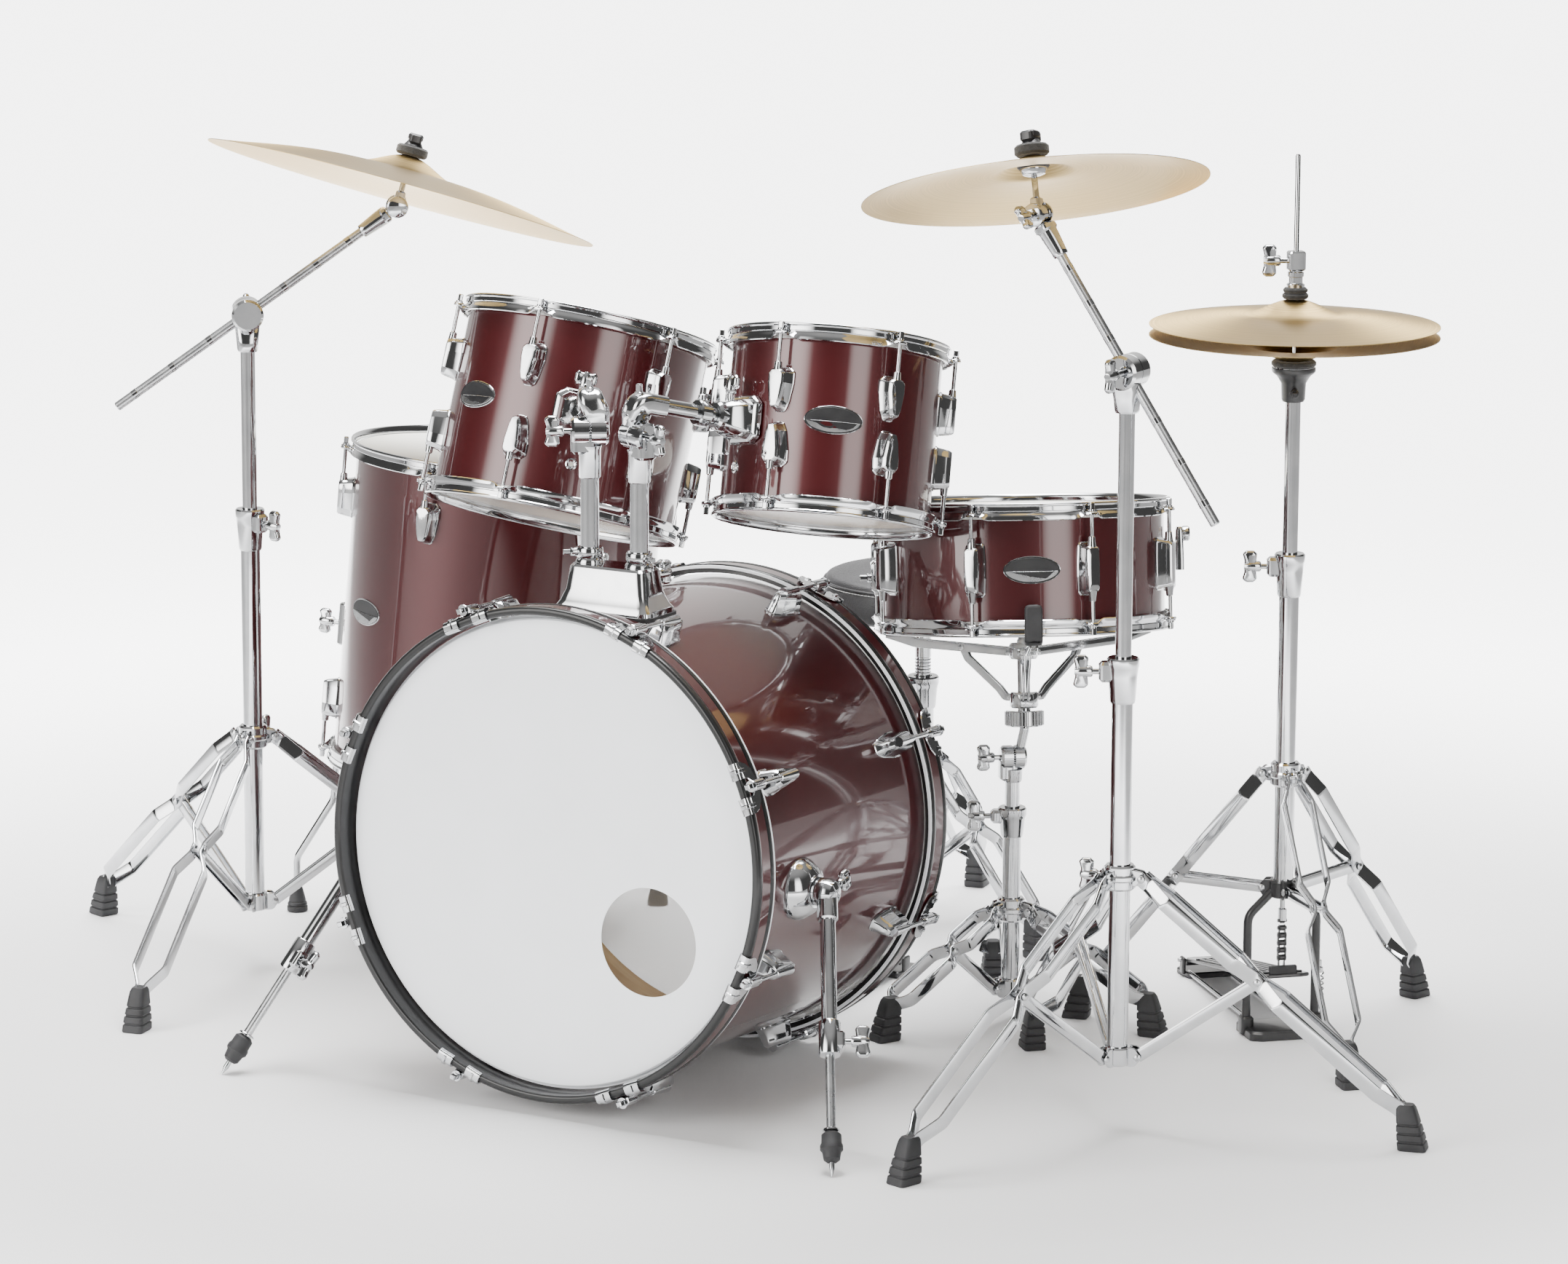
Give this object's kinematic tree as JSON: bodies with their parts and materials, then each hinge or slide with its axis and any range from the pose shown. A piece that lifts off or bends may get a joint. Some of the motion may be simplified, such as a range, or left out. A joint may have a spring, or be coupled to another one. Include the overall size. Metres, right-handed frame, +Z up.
{
  "type": "acoustic drum kit",
  "caption": "Acoustic drum kit: bass drum with rack toms on its holder, floor tom on legs, snare, hi-hat and boom cymbals on tripods, foot pedals and a round stool.",
  "frame": {"origin": "centre of the kit's footprint on the floor", "axes": "+Z up, +X along the kit's width towards the hi-hat, -Y towards the audience, +Y towards the drummer"},
  "size_m": [2.0282, 1.3578, 1.1735],
  "materials": {
    "wine_lacquer": "plywood under deep wine-red high-gloss lacquer",
    "chrome": "bright plated steel, polished",
    "black_hoop": "wooden hoop under black high-gloss lacquer",
    "white_head": "smooth white film, satin",
    "clear_head": "clear film, slightly hazy",
    "cream_head": "coated film, fine sprayed grain",
    "bronze": "cast bronze, lathed with fine concentric grooves",
    "black_metal": "black powder coat, semi-gloss",
    "vinyl": "black textured vinyl over foam",
    "snare_wire": "coiled spring wire, bright",
    "rubber": "moulded black rubber, matt",
    "felt": "pressed wool felt, off-white",
    "black_felt": "pressed wool felt, black",
    "black_plastic": "moulded nylon, black",
    "inner_wood": "bare pale plywood, sanded"
  },
  "bodies": {
    "kit_frame": {"bass_shell": "wine_lacquer", "bass_front_hoop": "black_hoop", "bass_rear_hoop": "black_hoop", "bass_front_head": "white_head", "bass_rear_head": "clear_head", "tom_holder": "chrome", "floor_tom_shell": "wine_lacquer", "floor_tom_top_hoop": "chrome", "floor_tom_bottom_hoop": "chrome", "floor_tom_top_head": "cream_head", "floor_tom_bottom_head": "clear_head", "pedal_frame": "black_metal", "snare_stand_base": "chrome", "left_stand_base": "chrome", "right_stand_base": "chrome", "hihat_base": "chrome", "hihat_bottom_cymbal": "bronze", "throne_base": "chrome"},
    "left_spur": {"bass_spur_left": "chrome"},
    "right_spur": {"bass_spur_right": "chrome"},
    "left_post": {"left_tom_post": "chrome"},
    "right_post": {"right_tom_post": "chrome"},
    "left_tom": {"left_tom_arm": "chrome", "left_tom_shell": "wine_lacquer", "left_tom_top_hoop": "chrome", "left_tom_bottom_hoop": "chrome", "left_tom_top_head": "clear_head", "left_tom_bottom_head": "clear_head"},
    "right_tom": {"right_tom_arm": "chrome", "right_tom_shell": "wine_lacquer", "right_tom_top_hoop": "chrome", "right_tom_bottom_hoop": "chrome", "right_tom_top_head": "clear_head", "right_tom_bottom_head": "clear_head"},
    "floor_leg_1": {"floor_tom_leg_1": "chrome"},
    "floor_leg_2": {"floor_tom_leg_2": "chrome"},
    "floor_leg_3": {"floor_tom_leg_3": "chrome"},
    "pedal_board": {"pedal_footboard": "black_metal"},
    "beater": {"pedal_beater": "chrome"},
    "snare_tube": {"snare_stand_tube": "chrome"},
    "snare_basket": {"snare_stand_basket": "chrome", "snare_shell": "wine_lacquer", "snare_top_hoop": "chrome", "snare_bottom_hoop": "chrome", "snare_top_head": "cream_head", "snare_bottom_head": "clear_head", "snare_wires": "snare_wire"},
    "strainer_lever": {"snare_strainer_lever": "chrome"},
    "hihat_pedal": {"hihat_footboard": "black_metal"},
    "hihat_pull": {"hihat_rod": "chrome", "hihat_top_cymbal": "bronze"},
    "left_mast": {"left_stand_mast": "chrome"},
    "left_boom": {"left_stand_boom": "chrome"},
    "left_cymbal": {"left_stand_cymbal_mount": "chrome", "left_stand_cymbal": "bronze"},
    "right_mast": {"right_stand_mast": "chrome"},
    "right_boom": {"right_stand_boom": "chrome"},
    "right_cymbal": {"right_stand_cymbal_mount": "chrome", "right_stand_cymbal": "bronze"},
    "throne_seat": {"throne_seat": "vinyl"}
  },
  "joints": [
    {"name": "left_spur_fold", "type": "hinge", "parent": "kit_frame", "child": "left_spur", "pos_m": [-0.2728, -0.499, 0.284], "axis": [-1, 0, 0], "range_deg": [0, 65]},
    {"name": "right_spur_fold", "type": "hinge", "parent": "kit_frame", "child": "right_spur", "pos_m": [0.3588, -0.499, 0.284], "axis": [-1, 0, 0], "range_deg": [0, 65]},
    {"name": "left_tom_swivel", "type": "hinge", "parent": "kit_frame", "child": "left_post", "pos_m": [0.015, -0.471, 0.798], "axis": [0, 0, 1], "range_deg": [0, 12]},
    {"name": "right_tom_swivel", "type": "hinge", "parent": "kit_frame", "child": "right_post", "pos_m": [0.084, -0.471, 0.798], "axis": [0, 0, -1], "range_deg": [0, 12]},
    {"name": "left_tom_tilt", "type": "hinge", "parent": "left_post", "child": "left_tom", "pos_m": [0.015, -0.471, 0.798], "axis": [0.8122, 0.5834, 0], "range_deg": [-3, 12]},
    {"name": "right_tom_tilt", "type": "hinge", "parent": "right_post", "child": "right_tom", "pos_m": [0.084, -0.471, 0.798], "axis": [0.8963, -0.4435, 0], "range_deg": [-2, 12]},
    {"name": "floor_leg_1_height", "type": "slide", "parent": "kit_frame", "child": "floor_leg_1", "axis": [0.0551, 0.0719, 0.9959], "range_m": [0, 0.05]},
    {"name": "floor_leg_2_height", "type": "slide", "parent": "kit_frame", "child": "floor_leg_2", "axis": [0.0551, 0.0719, 0.9959], "range_m": [0, 0.05]},
    {"name": "floor_leg_3_height", "type": "slide", "parent": "kit_frame", "child": "floor_leg_3", "axis": [0.0551, 0.0719, 0.9959], "range_m": [0, 0.05]},
    {"name": "bass_pedal_press", "type": "hinge", "parent": "kit_frame", "child": "pedal_board", "pos_m": [0.063, 0.167, 0.022], "axis": [1, 0, 0], "range_deg": [0, 12], "stiffness_Nm_per_rad": 5, "springref_deg": -17.19},
    {"name": "beater_swing", "type": "hinge", "parent": "kit_frame", "child": "beater", "pos_m": [0.063, -0.122, 0.138], "axis": [1, 0, 0], "range_deg": [0, 50]},
    {"name": "snare_height", "type": "slide", "parent": "kit_frame", "child": "snare_tube", "axis": [0, 0, 1], "range_m": [-0.03, 0.03]},
    {"name": "snare_tilt", "type": "hinge", "parent": "snare_tube", "child": "snare_basket", "pos_m": [0.311, 0.053, 0.337], "axis": [0.7779, 0.6284, 0], "range_deg": [-8, 4]},
    {"name": "snare_strainer", "type": "hinge", "parent": "snare_basket", "child": "strainer_lever", "pos_m": [0.47402, 0.18375, 0.57159], "axis": [-0.5204, 0.8421, -0.1413], "range_deg": [0, 75]},
    {"name": "hihat_pedal_press", "type": "hinge", "parent": "kit_frame", "child": "hihat_pedal", "pos_m": [0.42903, 0.37627, 0.022], "axis": [0.7169, 0.6972, 0], "range_deg": [0, 2], "stiffness_Nm_per_rad": 40, "springref_deg": -11.46},
    {"name": "hihat_pull_rod", "type": "slide", "parent": "kit_frame", "child": "hihat_pull", "axis": [0, 0, -1], "range_m": [0, 0.0105]},
    {"name": "left_stand_height", "type": "slide", "parent": "kit_frame", "child": "left_mast", "axis": [0, 0, 1], "range_m": [-0.03, 0.12]},
    {"name": "left_boom_tilt", "type": "hinge", "parent": "left_mast", "child": "left_boom", "pos_m": [-0.659, -0.216, 0.856], "axis": [0.5997, -0.8002, 0], "range_deg": [-4, 20]},
    {"name": "left_cymbal_tilt", "type": "hinge", "parent": "left_boom", "child": "left_cymbal", "pos_m": [-0.505, -0.1006, 0.9918], "axis": [0.5997, -0.8002, 0], "range_deg": [-8, 8]},
    {"name": "right_stand_height", "type": "slide", "parent": "kit_frame", "child": "right_mast", "axis": [0, 0, 1], "range_m": [-0.05, 0.15]},
    {"name": "right_boom_tilt", "type": "hinge", "parent": "right_mast", "child": "right_boom", "pos_m": [0.649, -0.3155, 0.9], "axis": [0.0017, 1, 0], "range_deg": [-10, 5]},
    {"name": "right_cymbal_tilt", "type": "hinge", "parent": "right_boom", "child": "right_cymbal", "pos_m": [0.5295, -0.3153, 1.0738], "axis": [0.0017, 1, 0], "range_deg": [-8, 8]},
    {"name": "throne_seat_spin", "type": "hinge", "parent": "kit_frame", "child": "throne_seat", "pos_m": [-0.021, 0.423, 0.42], "axis": [0, 0, 1], "continuous": true}
  ],
  "couplings": [
    {"joint": "beater_swing", "follows": "bass_pedal_press", "ratio": 4},
    {"joint": "hihat_pull_rod", "follows": "hihat_pedal_press", "m_per_rad": 0.294}
  ]
}
